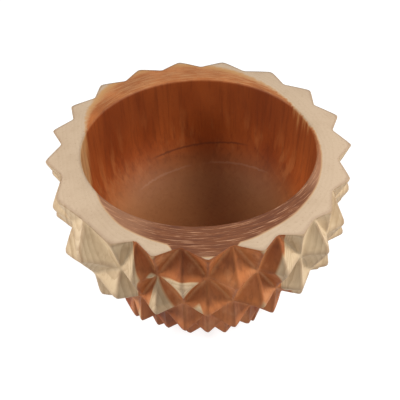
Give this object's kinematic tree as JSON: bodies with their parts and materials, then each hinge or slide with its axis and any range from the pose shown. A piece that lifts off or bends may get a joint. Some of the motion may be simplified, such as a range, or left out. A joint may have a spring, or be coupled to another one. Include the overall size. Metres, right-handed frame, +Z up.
{
  "type": "bowl",
  "caption": "Round end-grain wooden bowl, smooth turned inside and chip-carved outside into staggered rows of pyramid spikes, on small felt pads.",
  "frame": {"origin": "centre of the foot, on the table that the pads stand on", "axes": "+Z up the turning axis, -Y towards the front, where the heartwood reaches the rim"},
  "size_m": [0.2983, 0.3124, 0.168],
  "materials": {
    "wood": "satin clear oil over two-tone wood, cream sapwood outside and red-brown heartwood inside",
    "felt": "pressed wool felt, dark brown"
  },
  "bodies": {
    "root": {"bowl": "wood", "felt_pad_1": "felt", "felt_pad_2": "felt", "felt_pad_3": "felt", "felt_pad_4": "felt"}
  },
  "joints": []
}
